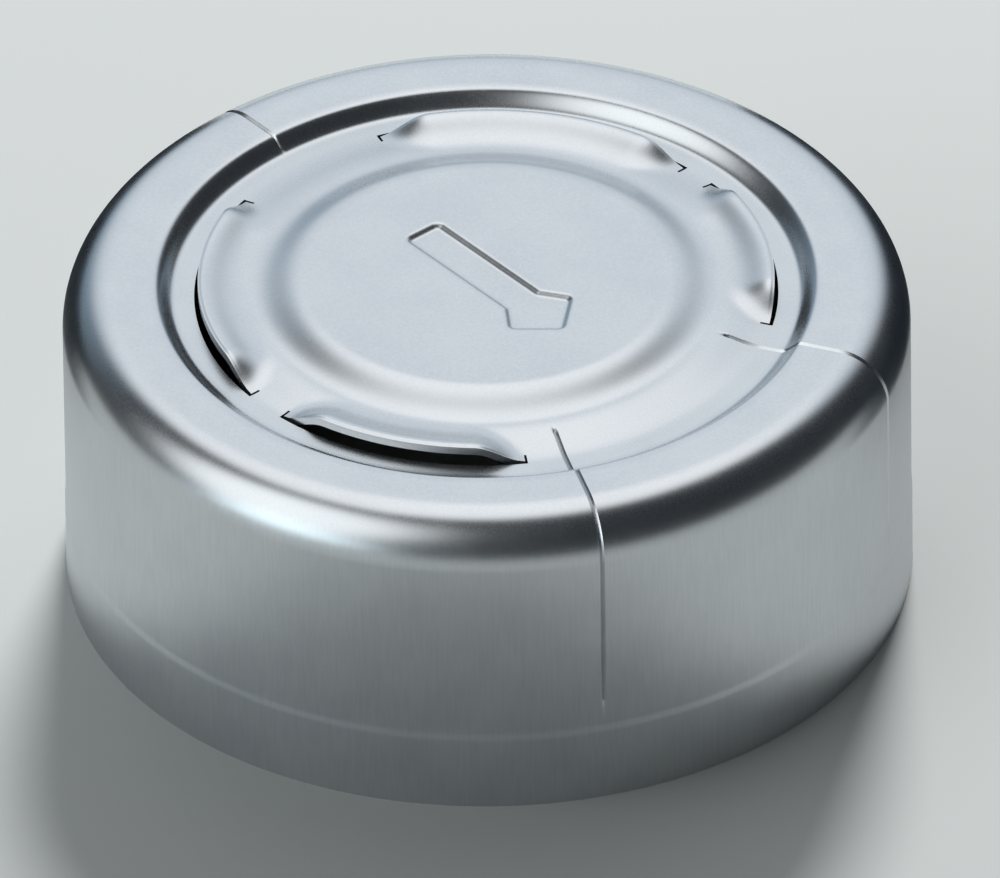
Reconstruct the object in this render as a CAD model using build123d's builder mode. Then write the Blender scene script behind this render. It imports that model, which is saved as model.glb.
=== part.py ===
from build123d import *
from math import cos, radians, sin
import os

# Tear-off crimp seal: one cup pressed from aluminium sheet, standing on its open
# rim. Millimetres. Z is the axis, Z = 0 is the open rim, and +X is the way the tear
# tab pulls, midway between the two score lines that run down the skirt.

# The pressed cup.
sheet = 0.2
outer_radius = 10.3
ring_height = 8.2
edge_radius = 1.25
band_height = 1.9
band_flare = 0.04
flare_run = 0.3  # height over which the wall steps out into the band
flare_bend = 0.6

# The top, outwards from the axis: each rise or drop is measured from the outer ring.
panel_radius = 4.55
panel_rise = 0.2
trough_radius = 5.65
trough_drop = 0.17
shelf_radius = 7.15
shelf_drop = 0.35
shelf_bend = 0.8
step_foot_radius = 7.6
step_head_radius = 8.06
step_bend = 0.3
trough_bend = 0.5

# The four lifted strips, each as its start and end angle about Z. Each is cut free
# along its outer edge, where a slit opens below its lip, and the slit turns inwards
# round the corner at each end of the lip.
strip_angles = [(35, 86), (93, 159), (193, 263), (272, 325)]
strip_root_radius = 5.75
strip_crest_radius = 6.84
lip_radius = 7.0
slit_radius = 7.09
lip_rise = 0.14
lip_roll = 0.05
ramp_angle = 5
root_overlap = 0.08
root_inset = 0.04
corner_cut_radius = 6.7
corner_cut_width = 0.1

# The score lines: two beside the tear tab, and a shorter one opposite, over the ring.
score_width = 0.12
score_depth = 0.09
tab_score_angles = [-27.5, 27.5]
tab_score_start = 5.95
tab_score_end_height = 2.65
back_score_angle = 177
back_score_start = 7.7
back_score_end_height = 6.7

# The arrow pressed into the panel, turned a little off the tear direction.
arrow_turn = -3
arrow_tail = -2.4
arrow_neck = 1.36
arrow_barb = 2.05
arrow_tip = 2.9
arrow_half_shaft = 0.53
arrow_half_head = 1.0
arrow_depth = 0.14
arrow_corner = 0.14

# Heights of the top's outer faces, and a length longer than any cut.
panel_height = ring_height + panel_rise
trough_height = ring_height - trough_drop
shelf_height = ring_height - shelf_drop
lip_height = ring_height + lip_rise
beyond = 3 * outer_radius


# The cup's outer line from the axis over the top and down to the rim.
def outer_line():
    corners = [
        (panel_radius, panel_height, trough_bend),
        (trough_radius, trough_height, trough_bend),
        (shelf_radius, shelf_height, shelf_bend),
        (step_foot_radius, shelf_height, step_bend),
        (step_head_radius, ring_height, step_bend),
        (outer_radius, ring_height, edge_radius),
        (outer_radius, band_height + flare_run, flare_bend),
        (outer_radius + band_flare, band_height, flare_bend),
    ]
    ends = [(0, panel_height), (outer_radius + band_flare, 0)]
    path = [ends[0]] + [(r, z) for r, z, bend in corners] + [ends[1]]
    return FilletPolyline(*path, radius=[bend for r, z, bend in corners])


# The plane that holds the axis and the radius at an angle, its own X pointing out.
def radial_plane(angle):
    outwards = (cos(radians(angle)), sin(radians(angle)), 0)
    across = (-sin(radians(angle)), cos(radians(angle)), 0)
    return Plane(origin=(0, 0, 0), x_dir=outwards, z_dir=tuple(-n for n in across))


# A strip's section, from its root in the trough to its lip, where lift is 0 for a
# strip that lies flush and 1 for one that is fully raised.
def strip_section(angle, lift):
    flush_fall = (shelf_height - trough_height) / (shelf_radius - trough_radius)

    def flush(radius):
        return trough_height + flush_fall * (radius - trough_radius)

    def raised(radius, height):
        return flush(radius) + lift * (height - flush(radius))

    root = strip_root_radius - root_overlap
    top = [
        (root, flush(root) - root_inset),
        (strip_crest_radius, raised(strip_crest_radius, lip_height)),
        (lip_radius, raised(lip_radius, lip_height - lip_roll)),
    ]
    thinner = sheet - 2 * root_inset
    bottom = [
        (lip_radius, top[2][1] - sheet),
        (strip_crest_radius, top[1][1] - sheet),
        (root, top[0][1] - thinner),
    ]
    with BuildSketch(radial_plane(angle)) as section:
        with BuildLine():
            Polyline(*top, *bottom, close=True)
        make_face()
    return section.sketch


# The arrow's outline in the panel's plane, grown by the given margin.
def arrow_outline(height, margin=0.0):
    half = [
        (arrow_tail, arrow_half_shaft),
        (arrow_neck, arrow_half_shaft),
        (arrow_barb, arrow_half_head),
    ]
    with BuildSketch(Plane.XY.offset(height).rotated((0, 0, arrow_turn))) as outline:
        with BuildLine():
            Polyline(*half, (arrow_tip, 0), *[(x, -y) for x, y in reversed(half)], close=True)
        make_face()
        fillet(outline.vertices(), radius=arrow_corner)
        if margin:
            offset(amount=margin)
    return outline.sketch


# A flat-bottomed groove along the outer line in one radial plane, from a radius on the top
# out and down to a height on the skirt.
def score_cut(angle, start_radius, end_height):
    with BuildPart() as cut:
        with BuildSketch(radial_plane(angle)):
            with Locations((start_radius, end_height)):
                Rectangle(beyond, beyond, align=(Align.MIN, Align.MIN))
            with BuildLine():
                inset = offset(outer_line(), amount=score_depth, side=Side.RIGHT, closed=False)
                Polyline(inset @ 1, (0, 0), inset @ 0)
            make_face(mode=Mode.SUBTRACT)
        extrude(amount=score_width / 2, both=True)
    return cut.part


# The opening that frees a strip, from its root out past the slit at its lip, taken
# right through the sheet and clear of it above and below.
def strip_window(start, end):
    floor = shelf_height - sheet - lip_rise
    with BuildPart() as window:
        with BuildSketch(radial_plane(start)):
            with Locations((strip_root_radius, floor)):
                Rectangle(slit_radius - strip_root_radius, lip_height - floor, align=(Align.MIN, Align.MIN))
        revolve(axis=Axis.Z, revolution_arc=end - start)
    return window.part


# The short inward turn of the slit at one end of a strip, up through the whole sheet.
def corner_cut(angle, toward_strip):
    with BuildPart() as cut:
        with BuildSketch(Plane.XY.offset(shelf_height - sheet - lip_rise).rotated((0, 0, angle))):
            with Locations((corner_cut_radius, toward_strip * corner_cut_width / 2)):
                Rectangle(slit_radius - corner_cut_radius, corner_cut_width, align=(Align.MIN, Align.CENTER))
        extrude(amount=panel_height - shelf_height + sheet + lip_rise)
    return cut.part


# A raised strip with a ramp down to the flush sheet at each end.
def strip(start, end):
    high_start = start + ramp_angle
    high_end = end - ramp_angle
    with BuildPart() as lifted:
        revolve(strip_section(high_start, 1), axis=Axis.Z, revolution_arc=high_end - high_start)
        loft([strip_section(start, 0), strip_section(high_start, 1)], ruled=True)
        loft([strip_section(high_end, 1), strip_section(end, 0)], ruled=True)
    return lifted.part


with BuildPart() as crimp_seal:
    with BuildSketch(Plane.XZ):
        with BuildLine():
            offset(outer_line(), amount=sheet, side=Side.RIGHT)
        make_face()
    revolve(axis=Axis.Z)

    # The arrow, pressed down by the same depth on both faces of the panel.
    extrude(arrow_outline(panel_height - sheet, sheet / 2), amount=-arrow_depth)
    extrude(arrow_outline(panel_height), amount=-arrow_depth, mode=Mode.SUBTRACT)

    for start, end in strip_angles:
        add(strip_window(start, end), mode=Mode.SUBTRACT)
        add(strip(start, end))
        add(corner_cut(start, 1), mode=Mode.SUBTRACT)
        add(corner_cut(end, -1), mode=Mode.SUBTRACT)

    for angle in tab_score_angles:
        add(score_cut(angle, tab_score_start, tab_score_end_height), mode=Mode.SUBTRACT)
    add(score_cut(back_score_angle, back_score_start, back_score_end_height), mode=Mode.SUBTRACT)

crimp_seal.part.label = "crimp_seal"
os.makedirs("parts", exist_ok=True)
export_step(crimp_seal.part, "parts/crimp_seal.step")
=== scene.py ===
import math
import re

import bpy
from mathutils import Matrix, Vector
from mathutils.geometry import delaunay_2d_cdt


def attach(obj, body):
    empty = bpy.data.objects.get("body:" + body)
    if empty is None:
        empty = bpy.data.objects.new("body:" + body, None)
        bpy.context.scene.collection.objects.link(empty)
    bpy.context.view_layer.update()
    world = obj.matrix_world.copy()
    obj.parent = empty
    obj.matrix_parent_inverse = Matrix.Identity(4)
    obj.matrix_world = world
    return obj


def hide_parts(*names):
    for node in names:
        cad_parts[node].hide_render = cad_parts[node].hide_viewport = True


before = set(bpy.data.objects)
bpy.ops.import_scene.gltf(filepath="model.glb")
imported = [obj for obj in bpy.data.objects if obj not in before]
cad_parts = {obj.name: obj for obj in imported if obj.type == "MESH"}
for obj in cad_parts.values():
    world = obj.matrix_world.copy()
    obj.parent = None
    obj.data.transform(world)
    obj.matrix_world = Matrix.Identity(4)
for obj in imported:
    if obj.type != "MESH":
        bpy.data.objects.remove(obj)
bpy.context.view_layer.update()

millimetre = 0.001
quarterTurn = math.pi / 2
tiny = 1e-6

# The Mix node's colour sockets, by number because its other kinds share their names.
mixFirst, mixSecond, mixResult = 6, 7, 2

# The seal in millimetres and degrees. Rises and drops are from the outer ring's face,
# angles are about Z from +X, the way the tear tab pulls.
seal = {
    "sheet": 0.2,
    "outerRadius": 10.3,
    "ringHeight": 8.2,
    "edgeRadius": 1.25,
    "bandHeight": 1.9,
    "bandFlare": 0.02,
    "flareRun": 0.3,
    "panelRadius": 4.45,
    "panelRise": 0.198,
    "troughRadius": 5.7,
    "troughDrop": 0.15,
    "shelfRadius": 7.1,
    "shelfDrop": 0.35,
    "stepFoot": 7.56,
    "stepHead": 8.1,
    "strips": [(35, 86), (93, 159), (193, 263), (272, 325)],
    "stripRoot": 5.72,
    "stripCrest": 6.95,
    "lipRadius": 7.0,
    "slitRadius": 7.09,
    "lipRise": 0.14,
    "lipRoll": 0.035,
    "rollWidth": 0.12,
    "rampLength": 1.3,
    "cornerRadius": 6.78,
    "cornerWidth": 0.5,
    "scoreWidth": 0.115,
    "scoreDepth": 0.06,
    "tabScores": [-27.5, 27.5],
    "tabScoreStart": 5.95,
    "tabScoreEnd": 2.65,
    "backScore": 177,
    "backScoreStart": 7.62,
    "backScoreEnd": 6.9,
    "scoreFade": 0.25,
    "arrowDepth": 0.085,
}

# The arrow's outline on the panel, along and across its own axis.
arrow = {
    "turn": -3,
    "tail": -2.4,
    "neck": 1.36,
    "barb": 2.05,
    "tip": 2.9,
    "halfShaft": 0.5,
    "halfHead": 0.98,
    "corner": 0.16,
    "cornerSteps": 5,
    # how far outside the outline each loop of its wall lies, and how deep it is pressed
    "wall": [(0.15, 0), (0.085, 0), (0.05, 0.12), (0, 0.5), (-0.05, 0.88), (-0.085, 1), (-0.15, 1)],
}

# How finely the flat blank is divided, in millimetres and degrees.
blankGrid = {
    "patchRadius": 4.3,
    "columnStep": 1.0,
    "scoreColumns": [-0.1, -0.065, -0.03, 0, 0.03, 0.065, 0.1],
    "scoreGap": 1.6,
    "edgeGap": 0.6,
    "slopeStep": 0.075,
    "shelfStep": 0.12,
    "stepStep": 0.06,
    "ringStep": 0.2,
    "bendSteps": 18,
    "rollSteps": 4,
    "skirtStep": 0.9,
    "bandSteps": 6,
    # edges that fold by more than this, in radians, are shaded sharp
    "sharpFold": 0.6,
}

# Satin aluminium: linear colours, and grain sizes in millimetres.
satin = {
    "pale": (0.62, 0.645, 0.66),
    "dark": (0.565, 0.59, 0.61),
    "roughness": 0.26,
    "skirtRoughness": 0.37,
    "roughnessSpread": 0.06,
    "grain": 0.07,
    "grainDetail": 3.0,
    "grainRoughness": 0.6,
    "grainShare": 0.6,
    "grainStretch": 14,
    "grainDepth": 0.00015,
    "cloud": 1.6,
    "cloudDetail": 2.0,
    "cloudRoughness": 0.5,
    "shadeLow": 0.3,
    "shadeHigh": 0.7,
}

view = {
    "bearing": 47.2,
    "elevation": 36.2,
    "roll": -0.7,
    "distance": 950,
    "scale": 41.1,
    "aim": (0.29, -0.244),
    "aimHeight": 3.75,
    "frameWidth": 1000,
    "sensor": 36,
    "clipStart": 10,
    "clipEnd": 10000,
}

# The soft studio round the seal. Bearings are counted from the camera, to its right,
# and each soft box is bright as far as inner degrees from its middle, and fades by outer.
studio = {
    "floorColour": (0.36, 0.375, 0.37),
    "floorSize": 900,
    "dark": (0.03, 0.035, 0.04),
    "boxes": [
        {"bearing": -170, "elevation": 8, "inner": 10, "outer": 50, "colour": (0.3, 0.4, 0.5)},
        {"bearing": 176, "elevation": 38, "inner": 17, "outer": 40, "colour": (0.9, 0.96, 1.03)},
        {"bearing": -178, "elevation": 66, "inner": 14, "outer": 30, "colour": (1.35, 1.36, 1.38)},
        {"bearing": -62, "elevation": 40, "inner": 18, "outer": 38, "colour": (1.55, 1.58, 1.6)},
        {"bearing": -52, "elevation": 2, "inner": 8, "outer": 28, "colour": (1.9, 2.2, 2.3)},
    ],
    # dark cards that stand either side, seen only by the metal, to give it dark edges
    "flags": [
        {"bearing": -128, "elevation": 0, "distance": 17, "width": 17, "height": 9},
        {"bearing": 122, "elevation": 0, "distance": 17, "width": 24, "height": 9},
    ],
    "flagColour": (0.02, 0.03, 0.04),
    # a lamp for the floor alone, behind the seal, so that the floor before it lies in shade
    "floorLamp": {"bearing": 172, "elevation": 38, "distance": 400, "size": 100, "power": 3.0},
}


class Wire:
    # One socket of a node tree, so that sums on it read as plain sums.
    def __init__(self, graph, socket):
        self.graph = graph
        self.socket = socket

    def sum(self, operation, *others):
        values = dict(enumerate([self, *others]))
        return self.graph.add("ShaderNodeMath", {"operation": operation}, values)

    def __add__(self, other):
        return self.sum("ADD", other)

    def __radd__(self, other):
        return self.sum("ADD", other)

    def __sub__(self, other):
        return self.sum("SUBTRACT", other)

    def __rsub__(self, other):
        return self.graph.add("ShaderNodeMath", {"operation": "SUBTRACT"}, {0: other, 1: self})

    def __mul__(self, other):
        return self.sum("MULTIPLY", other)

    def __rmul__(self, other):
        return self.sum("MULTIPLY", other)

    def __truediv__(self, other):
        return self.sum("DIVIDE", other)

    def __rtruediv__(self, other):
        return self.graph.add("ShaderNodeMath", {"operation": "DIVIDE"}, {0: other, 1: self})

    def __pow__(self, other):
        return self.sum("POWER", other)

    def __neg__(self):
        return self.sum("MULTIPLY", -1)

    def __lt__(self, other):
        return self.sum("LESS_THAN", other)

    def __gt__(self, other):
        return self.sum("GREATER_THAN", other)


class Graph:
    # A node tree that is filled by adding nodes to it.
    def __init__(self, tree):
        self.tree = tree

    def add(self, kind, settings=None, values=None, output=0):
        node = self.tree.nodes.new(kind)
        for name, value in (settings or {}).items():
            setattr(node, name, value)
        for key, value in (values or {}).items():
            if isinstance(value, Wire):
                self.tree.links.new(value.socket, node.inputs[key])
            elif value is not None:
                node.inputs[key].default_value = value
        self.last = node
        return Wire(self, node.outputs[output]) if len(node.outputs) else None

    def smooth(self, value, low, high, start=0.0, finish=1.0):
        ends = {"Value": value, "From Min": low, "From Max": high, "To Min": start, "To Max": finish}
        return self.add("ShaderNodeMapRange", {"interpolation_type": "SMOOTHSTEP"}, ends)

    def highest(self, wires):
        best = wires[0]
        for wire in wires[1:]:
            best = best.sum("MAXIMUM", wire)
        return best


# The seal's sizes as named numbers, one for each input of the press. The slits are cut
# before it, so the sizes of their corners are left out.
def pressSizes():
    sizes = {name: value for name, value in seal.items()
             if not isinstance(value, list) and not name.startswith("corner")}
    for number, (start, end) in enumerate(seal["strips"], 1):
        sizes[f"strip{number}Start"] = start
        sizes[f"strip{number}End"] = end
    for number, angle in enumerate(seal["tabScores"], 1):
        sizes[f"tabScore{number}"] = angle
    return sizes


def inputName(key):
    return re.sub(r"([A-Z0-9])", r" \1", key).capitalize()


# The flat blank is a disc of sheet with the slits already cut. These are radii on it.
bendStart = seal["outerRadius"] - seal["edgeRadius"]
skirtStart = bendStart + seal["edgeRadius"] * quarterTurn
blankRadius = skirtStart + seal["ringHeight"] - seal["edgeRadius"]


# Distance from the axis, once pressed, of a point at this radius on the flat blank.
def pressedRadius(radius):
    turn = min(max((radius - bendStart) / seal["edgeRadius"], 0), quarterTurn)
    return min(radius, bendStart) + seal["edgeRadius"] * math.sin(turn)


def evenly(start, end, step):
    count = max(1, round((end - start) / step))
    return [start + (end - start) * n / count for n in range(count)]


def blankRows():
    grid = blankGrid
    bandEdge = blankRadius - seal["bandHeight"] - seal["flareRun"]
    scoreEnd = blankRadius - seal["tabScoreEnd"]
    rows = evenly(grid["patchRadius"], seal["stripRoot"], grid["slopeStep"])
    rollStart = seal["lipRadius"] - seal["rollWidth"]
    rows += evenly(seal["stripRoot"], seal["cornerRadius"], grid["slopeStep"])
    rows += evenly(seal["cornerRadius"], rollStart, grid["slopeStep"])
    rows += evenly(rollStart, seal["lipRadius"], seal["rollWidth"] / grid["rollSteps"])
    rows += [seal["lipRadius"]]
    rows += evenly(seal["slitRadius"], seal["stepFoot"], grid["shelfStep"])
    rows += evenly(seal["stepFoot"], seal["stepHead"], grid["stepStep"])
    rows += evenly(seal["stepHead"], bendStart, grid["ringStep"])
    rows += evenly(bendStart, skirtStart, (skirtStart - bendStart) / grid["bendSteps"])
    rows += evenly(skirtStart, scoreEnd - seal["scoreFade"], grid["skirtStep"])
    rows += evenly(scoreEnd - seal["scoreFade"], scoreEnd, seal["scoreFade"] / 2)
    rows += evenly(scoreEnd, bandEdge, grid["skirtStep"])
    rows += evenly(bandEdge, bandEdge + seal["flareRun"], seal["flareRun"] / grid["bandSteps"])
    rows += evenly(bandEdge + seal["flareRun"], blankRadius, grid["skirtStep"])
    return rows + [blankRadius]


# Each column is an angle and a sideways distance from it, so that a score keeps its width.
def blankColumns():
    scores = [*seal["tabScores"], seal["backScore"]]
    edges = [angle for start, end in seal["strips"]
             for angle in (start, start + seal["cornerWidth"], end - seal["cornerWidth"], end)]
    columns = []
    for index in range(round(360 / blankGrid["columnStep"])):
        angle = index * blankGrid["columnStep"]
        nearScore = min(abs((angle - score + 180) % 360 - 180) for score in scores)
        nearEdge = min(abs((angle - edge + 180) % 360 - 180) for edge in edges)
        if nearScore > blankGrid["scoreGap"] and nearEdge > blankGrid["edgeGap"]:
            columns.append((angle, 0))
    columns += [(edge % 360, 0) for edge in edges]
    columns += [(score % 360, side) for score in scores for side in blankGrid["scoreColumns"]]
    return sorted(columns, key=lambda column: (column[0], column[1]))


# What is cut away: a slit along each strip, turned inwards at both of its ends.
def isCut(radius, angle):
    for start, end in seal["strips"]:
        inward = min(angle % 360 - start, end - angle % 360)
        if inward > 0 and seal["lipRadius"] < radius < seal["slitRadius"]:
            return True
        if 0 < inward < seal["cornerWidth"] and seal["cornerRadius"] < radius < seal["slitRadius"]:
            return True
    return False


# One closed loop round the arrow, its corners rounded, set out by grow.
def arrowLoop(grow):
    half = [(arrow["tail"], arrow["halfShaft"]), (arrow["neck"], arrow["halfShaft"]),
            (arrow["barb"], arrow["halfHead"])]
    corners = [Vector((x, -y)) for x, y in half]
    corners += [Vector((arrow["tip"], 0))] + [Vector(corner) for corner in reversed(half)]
    points = []
    for index, corner in enumerate(corners):
        before = (corner - corners[index - 1]).normalized()
        after = (corners[(index + 1) % len(corners)] - corner).normalized()
        normalBefore, normalAfter = Vector((before.y, -before.x)), Vector((after.y, -after.x))
        side = 1 if before.cross(after) > 0 else -1  # -1 where the outline turns inwards
        middle = (normalBefore + normalAfter).normalized()
        centre = corner - middle * side * arrow["corner"] / middle.dot(normalBefore)
        reach = side * (arrow["corner"] + side * grow)
        for step in range(arrow["cornerSteps"] + 1):
            normal = normalBefore.lerp(normalAfter, step / arrow["cornerSteps"]).normalized()
            points.append(centre + normal * reach)
    turned = Matrix.Rotation(math.radians(arrow["turn"]), 2)
    return [turned @ point for point in points]


# The middle of the blank: triangles between the arrow's loops and the first ring.
def middlePatch(ring):
    points, pressed, edges = [Vector(p) for p in ring], [0.0] * len(ring), []
    loops = [range(len(ring))]
    for grow, depth in arrow["wall"]:
        loop = arrowLoop(grow)
        loops.append(range(len(points), len(points) + len(loop)))
        points += loop
        pressed += [depth] * len(loop)
    for loop in loops:
        edges += [(loop[i - 1], loop[i]) for i in range(len(loop))]
    found = delaunay_2d_cdt(points, edges, [], 0, tiny, True)
    depths = [max((pressed[i] for i in sources), default=0) for sources in found[3]]
    sources = [list(indices)[0] if len(indices) else None for indices in found[3]]
    return found[0], depths, found[2], sources


def makeBlank():
    rows, columns = blankRows(), blankColumns()
    count = len(columns)
    flat, faces = [], []
    for row in rows:
        for angle, side in columns:
            turn = math.radians(angle) + math.asin(side / pressedRadius(row))
            flat.append((row * math.cos(turn), row * math.sin(turn)))
    pressed = [0.0] * len(flat)
    for index in range(len(rows) - 1):
        for column in range(count):
            following = (column + 1) % count
            middle = columns[column][0] + (columns[following][0] - columns[column][0]) % 360 / 2
            if isCut((rows[index] + rows[index + 1]) / 2, middle):
                continue
            a, b = index * count + column, index * count + following
            faces.append((a, a + count, b + count, b))
    patchPoints, patchDepths, patchFaces, sources = middlePatch(flat[:count])
    place = {}
    for index, point in enumerate(patchPoints):
        if sources[index] is not None and sources[index] < count:
            place[index] = sources[index]
        else:
            place[index] = len(flat)
            flat.append(tuple(point))
            pressed.append(patchDepths[index])
    faces += [tuple(place[i] for i in face) for face in patchFaces]

    # the same faces again on the underside, and a wall along every free edge
    total = len(flat)
    points = [(x, y, 0) for x, y in flat] + [(x, y, -seal["sheet"]) for x, y in flat]
    used = {}
    for face in faces:
        for i in range(len(face)):
            used[(face[i - 1], face[i])] = True
    walls = [(b, a, a + total, b + total) for a, b in used if (b, a) not in used]
    under = [tuple(i + total for i in reversed(face)) for face in faces]
    mesh = bpy.data.meshes.new("sealBlank")
    mesh.from_pydata(points, [], faces + under + walls)
    attribute = mesh.attributes.new("arrow", "FLOAT", "POINT")
    attribute.data.foreach_set("value", pressed + pressed)
    return mesh


# The press turns the flat blank into the cup.
def makePress(material):
    tree = bpy.data.node_groups.new("pressTheSeal", "GeometryNodeTree")
    tree.interface.new_socket("Blank", in_out="INPUT", socket_type="NodeSocketGeometry")
    sizes = pressSizes()
    for key in sizes:
        tree.interface.new_socket(inputName(key), in_out="INPUT", socket_type="NodeSocketFloat")
    tree.interface.new_socket("Seal", in_out="OUTPUT", socket_type="NodeSocketGeometry")
    graph = Graph(tree)
    blank = graph.add("NodeGroupInput")
    entry = graph.last
    size = {key: Wire(graph, entry.outputs[inputName(key)]) for key in sizes}

    place = graph.add("GeometryNodeInputPosition")
    x = graph.add("ShaderNodeSeparateXYZ", {}, {0: place})
    y, depth = (Wire(graph, graph.last.outputs[n]) for n in (1, 2))
    radius = (x * x + y * y) ** 0.5
    angle = y.sum("ARCTAN2", x)
    outX, outY = (part / radius.sum("MAXIMUM", tiny) for part in (x, y))

    # the drawn cup: flat top, rounded edge, straight skirt with a flared band
    bend = size["outerRadius"] - size["edgeRadius"]
    turn = ((radius - bend) / size["edgeRadius"]).sum("MAXIMUM", 0).sum("MINIMUM", quarterTurn)
    sine, cosine = turn.sum("SINE"), turn.sum("COSINE")
    drawn = radius.sum("MINIMUM", bend) + size["edgeRadius"] * sine
    fall = (radius - bend - size["edgeRadius"] * quarterTurn).sum("MAXIMUM", 0)

    # the steps of the top, each a smooth rise or fall between two radii
    slopes = [
        graph.smooth(radius, size["panelRadius"], size["troughRadius"],
                     size["panelRise"], -size["troughDrop"]),
        graph.smooth(radius, size["troughRadius"], size["shelfRadius"],
                     0, size["troughDrop"] - size["shelfDrop"]),
        graph.smooth(radius, size["stepFoot"], size["stepHead"], 0, size["shelfDrop"]),
    ]
    relief = slopes[0] + slopes[1] + slopes[2]
    height = size["ringHeight"] + relief - size["edgeRadius"] * (1 - cosine) - fall
    flareTop = size["bandHeight"] + size["flareRun"]
    drawn = drawn + graph.smooth(height, size["bandHeight"], flareTop, size["bandFlare"], 0)

    # the strips, lifted to their lip from a rounded outline that is open at the slit
    reaches = []
    for number in range(1, len(seal["strips"]) + 1):
        start, end = (size[f"strip{number}{side}"] * (math.pi / 180) for side in ("Start", "End"))
        away = (angle - (start + end) * 0.5).sum("COSINE").sum("ARCCOSINE")
        reaches.append(((end - start) * 0.5 - away) * radius)
    along = 1 - (graph.highest(reaches) / size["rampLength"]).sum("MAXIMUM", 0)
    across = 1 - (radius - size["stripRoot"]) / (size["stripCrest"] - size["stripRoot"])
    along, across = (part.sum("MAXIMUM", 0) for part in (along, across))
    rise = graph.smooth(1 - (along * along + across * across) ** 0.5, 0, 1)
    rise = rise * (radius < (size["lipRadius"] + size["slitRadius"]) * 0.5)
    roll = graph.smooth(radius, size["lipRadius"] - size["rollWidth"], size["lipRadius"], 0, size["lipRoll"])
    height = height + rise * (size["lipRise"] - relief - roll)

    # the scores, V grooves of one width in the outer face only
    grooves = []
    heights = {"tabScore1": "tabScore", "tabScore2": "tabScore", "backScore": "backScore"}
    for key, kind in heights.items():
        off = angle - size[key] * (math.pi / 180)
        sideways = (drawn * off.sum("SINE")).sum("ABSOLUTE")
        groove = (1 - sideways / (size["scoreWidth"] * 0.5)).sum("MAXIMUM", 0) * (off.sum("COSINE") > 0)
        groove = groove * graph.smooth(radius, size[kind + "Start"], size[kind + "Start"] + size["scoreFade"])
        groove = groove * graph.smooth(height, size[kind + "End"], size[kind + "End"] + size["scoreFade"])
        grooves.append(groove)
    outside = depth > size["sheet"] * -0.5
    pressed = graph.add("GeometryNodeInputNamedAttribute", {"data_type": "FLOAT"}, {"Name": "arrow"})
    sink = graph.highest(grooves) * size["scoreDepth"] * outside + pressed * size["arrowDepth"]

    reach = drawn + sine * (depth - sink)
    level = height + cosine * (depth - sink)
    target = [part * millimetre for part in (outX * reach, outY * reach, level)]
    target = graph.add("ShaderNodeCombineXYZ", {}, dict(enumerate(target)))
    shape = graph.add("GeometryNodeSetPosition", {}, {"Geometry": blank, "Position": target})
    shape = graph.add("GeometryNodeSetShadeSmooth", {"domain": "FACE"}, {
        "Geometry": shape, "Shade Smooth": True})
    fold = graph.add("GeometryNodeInputMeshEdgeAngle")
    blunt = graph.add("FunctionNodeCompare", {"data_type": "FLOAT", "operation": "LESS_THAN"}, {
        0: fold, 1: blankGrid["sharpFold"]})
    shape = graph.add("GeometryNodeSetShadeSmooth", {"domain": "EDGE"}, {
        "Geometry": shape, "Shade Smooth": blunt})
    shape = graph.add("GeometryNodeRealizeInstances", {}, {"Geometry": shape})
    shape = graph.add("GeometryNodeSetMaterial", {}, {"Geometry": shape, "Material": material})
    graph.add("NodeGroupOutput", {}, {"Seal": shape})
    return tree


def makeSeal(material):
    rough = bpy.data.objects.new("sealRough", makeBlank())
    bpy.context.scene.collection.objects.link(rough)
    press = rough.modifiers.new("press", "NODES")
    press.node_group = makePress(material)
    sockets = {item.name: item.identifier for item in press.node_group.interface.items_tree}
    for key, value in pressSizes().items():
        press[sockets[inputName(key)]] = float(value)
    evaluated = rough.evaluated_get(bpy.context.evaluated_depsgraph_get())
    mesh = bpy.data.meshes.new_from_object(evaluated)
    mesh.name = "tearOffSeal"
    rough.modifiers.remove(press)
    bpy.data.objects.remove(rough)
    piece = bpy.data.objects.new("tearOffSeal", mesh)
    bpy.context.scene.collection.objects.link(piece)
    return piece


def makeSatin():
    material = bpy.data.materials.new("satinAluminium")
    material.use_nodes = True
    material.node_tree.nodes.clear()
    graph = Graph(material.node_tree)
    place = graph.add("ShaderNodeTexCoord", {}, {}, "Object")

    # fine grain, round on the top and drawn out along the skirt
    stretch = (1, 1, 1 / satin["grainStretch"])
    drawn = graph.add("ShaderNodeMapping", {}, {"Vector": place, "Scale": stretch})
    fine = graph.add("ShaderNodeTexNoise", {}, {
        "Vector": drawn, "Scale": 1 / (satin["grain"] * millimetre),
        "Detail": satin["grainDetail"], "Roughness": satin["grainRoughness"]})
    cloud = graph.add("ShaderNodeTexNoise", {}, {
        "Vector": place, "Scale": 1 / (satin["cloud"] * millimetre),
        "Detail": satin["cloudDetail"], "Roughness": satin["cloudRoughness"]})
    blend = fine * satin["grainShare"] + cloud * (1 - satin["grainShare"])
    shade = graph.smooth(blend, satin["shadeLow"], satin["shadeHigh"])
    colour = graph.add("ShaderNodeMix", {"data_type": "RGBA"}, {
        "Factor": shade, mixFirst: (*satin["dark"], 1),
        mixSecond: (*satin["pale"], 1)}, mixResult)
    height = graph.add("ShaderNodeSeparateXYZ", {}, {0: place}, "Z")
    skirtTop = (seal["ringHeight"] - seal["edgeRadius"]) * millimetre
    rough = graph.smooth(height, skirtTop, seal["ringHeight"] * millimetre,
                         satin["skirtRoughness"], satin["roughness"])
    rough = rough + (fine + cloud - 1) * satin["roughnessSpread"]
    bump = graph.add("ShaderNodeBump", {}, {
        "Height": fine, "Distance": satin["grainDepth"] * millimetre, "Strength": 1.0})
    shader = graph.add("ShaderNodeBsdfPrincipled", {}, {
        "Base Color": colour, "Metallic": 1.0, "Roughness": rough, "Normal": bump})
    graph.add("ShaderNodeOutputMaterial", {}, {"Surface": shader})
    return material


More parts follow.
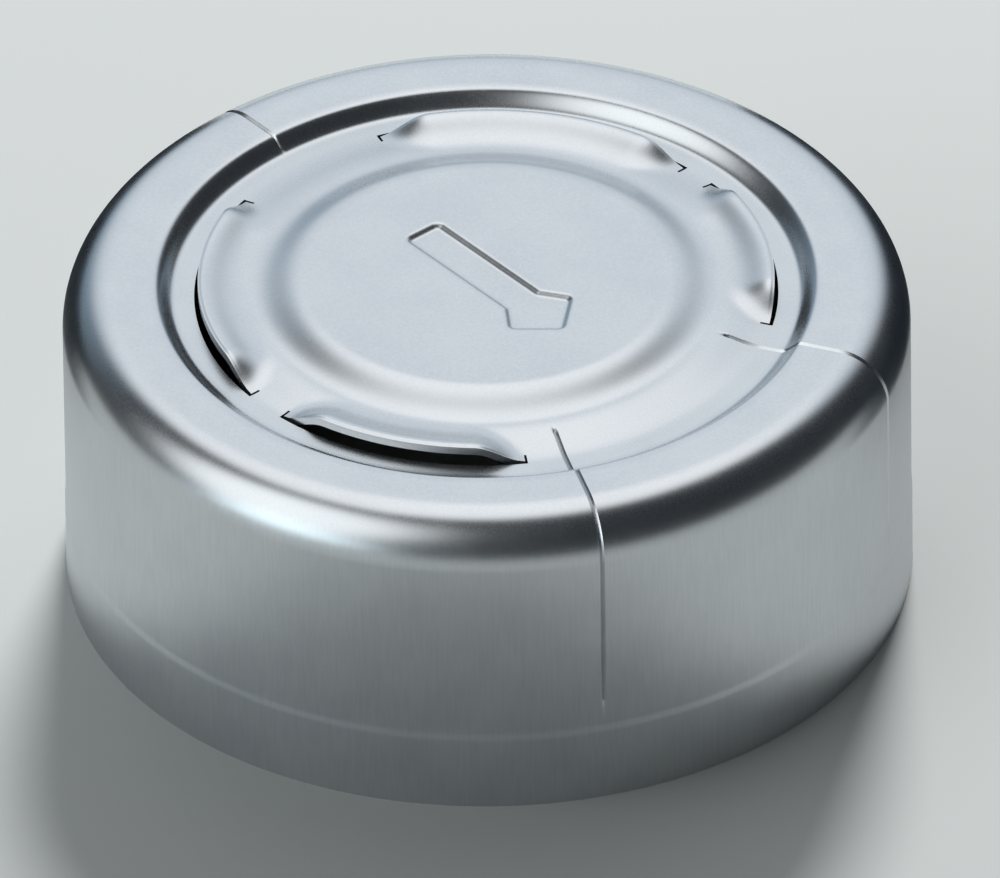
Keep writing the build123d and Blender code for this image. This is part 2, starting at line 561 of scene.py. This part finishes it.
# Unit vectors of the view: back to the camera, to its right, and up across it.
def viewAxes():
    bearing, elevation = math.radians(view["bearing"]), math.radians(view["elevation"])
    front = Vector((math.sin(bearing), -math.cos(bearing), 0))
    right = Vector((math.cos(bearing), math.sin(bearing), 0))
    back = front * math.cos(elevation) + Vector((0, 0, math.sin(elevation)))
    return back, right, back.cross(right)


def makeCamera():
    back, right, up = viewAxes()
    data = bpy.data.cameras.new("camera")
    data.sensor_width = view["sensor"]
    data.lens = view["scale"] * view["distance"] * view["sensor"] / view["frameWidth"]
    data.clip_start = view["clipStart"] * millimetre
    data.clip_end = view["clipEnd"] * millimetre
    camera = bpy.data.objects.new("camera", data)
    aim = Vector((0, 0, view["aimHeight"])) + right * view["aim"][0] + up * view["aim"][1]
    camera.location = (aim + back * view["distance"]) * millimetre
    turn = Matrix.Rotation(math.radians(view["roll"]), 3, "Z").to_quaternion()
    camera.rotation_euler = ((-back).to_track_quat("-Z", "Y") @ turn).to_euler()
    bpy.context.scene.collection.objects.link(camera)
    bpy.context.scene.camera = camera


def makeFloor():
    half = studio["floorSize"] * millimetre / 2
    corners = [(-half, -half, 0), (half, -half, 0), (half, half, 0), (-half, half, 0)]
    mesh = bpy.data.meshes.new("floor")
    mesh.from_pydata(corners, [], [(0, 1, 2, 3)])
    floor = bpy.data.objects.new("floor", mesh)
    material = bpy.data.materials.new("paleFloor")
    material.use_nodes = True
    material.node_tree.nodes.clear()
    graph = Graph(material.node_tree)
    shader = graph.add("ShaderNodeBsdfDiffuse", {}, {"Color": (*studio["floorColour"], 1)})
    graph.add("ShaderNodeOutputMaterial", {}, {"Surface": shader})
    mesh.materials.append(material)
    bpy.context.scene.collection.objects.link(floor)
    return floor


# A light's direction, from its bearing to the camera's right and its elevation.
def lightDirection(light):
    back, right, up = viewAxes()
    front = Vector((back.x, back.y, 0)).normalized()
    bearing, elevation = math.radians(light["bearing"]), math.radians(light["elevation"])
    level = front * math.cos(bearing) + right * math.sin(bearing)
    return level * math.cos(elevation) + Vector((0, 0, math.sin(elevation)))


def makeWorld():
    world = bpy.data.worlds.new("studio")
    bpy.context.scene.world = world
    world.use_nodes = True
    world.node_tree.nodes.clear()
    graph = Graph(world.node_tree)
    toward = graph.add("ShaderNodeTexCoord", {}, {}, "Generated")
    light = (*studio["dark"], 1)
    for box in studio["boxes"]:
        facing = graph.add("ShaderNodeVectorMath", {"operation": "DOT_PRODUCT"}, {
            0: toward, 1: lightDirection(box)}, "Value")
        edge, middle = (math.cos(math.radians(box[side])) for side in ("outer", "inner"))
        light = graph.add("ShaderNodeMix", {"data_type": "RGBA"}, {
            "Factor": graph.smooth(facing, edge, middle), mixFirst: light,
            mixSecond: (*box["colour"], 1)}, mixResult)
    shader = graph.add("ShaderNodeBackground", {}, {"Color": light, "Strength": 1.0})
    graph.add("ShaderNodeOutputWorld", {}, {"Surface": shader})


def makeFlag(size, number):
    middle = lightDirection(size) * size["distance"] * millimetre
    along = Vector((-middle.y, middle.x, 0)).normalized() * size["width"] / 2 * millimetre
    up = Vector((0, 0, size["height"] * millimetre))
    mesh = bpy.data.meshes.new(f"flag{number}")
    corners = [middle - along, middle + along, middle + along + up, middle - along + up]
    mesh.from_pydata(corners, [], [(0, 1, 2, 3)])
    flag = bpy.data.objects.new(f"flag{number}", mesh)
    material = bpy.data.materials.new(f"flagCloth{number}")
    material.use_nodes = True
    material.node_tree.nodes.clear()
    graph = Graph(material.node_tree)
    shader = graph.add("ShaderNodeBsdfDiffuse", {}, {"Color": (*studio["flagColour"], 1)})
    graph.add("ShaderNodeOutputMaterial", {}, {"Surface": shader})
    mesh.materials.append(material)
    flag.visible_camera = False
    flag.visible_diffuse = False
    flag.visible_shadow = False
    bpy.context.scene.collection.objects.link(flag)


def makeFloorLamp(floor):
    size = studio["floorLamp"]
    data = bpy.data.lights.new("floorLamp", "AREA")
    data.shape = "DISK"
    data.size = size["size"] * millimetre
    data.energy = size["power"]
    lamp = bpy.data.objects.new("floorLamp", data)
    toward = lightDirection(size)
    lamp.location = toward * size["distance"] * millimetre
    lamp.rotation_euler = (-toward).to_track_quat("-Z", "Y").to_euler()
    bpy.context.scene.collection.objects.link(lamp)
    lit = bpy.data.collections.new("litByFloorLamp")
    lit.objects.link(floor)
    lamp.light_linking.receiver_collection = lit


print("camera and studio")
makeCamera()
makeFloorLamp(makeFloor())
for number, flagSize in enumerate(studio["flags"], 1):
    makeFlag(flagSize, number)
makeWorld()

print("finish")
aluminium = makeSatin()

print("seal")
tearOffSeal = makeSeal(aluminium)
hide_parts("crimp_seal")
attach(tearOffSeal, "root")
print("triangles", sum(len(face.vertices) - 2 for face in tearOffSeal.data.polygons))

bpy.context.scene.view_settings.view_transform = "Standard"
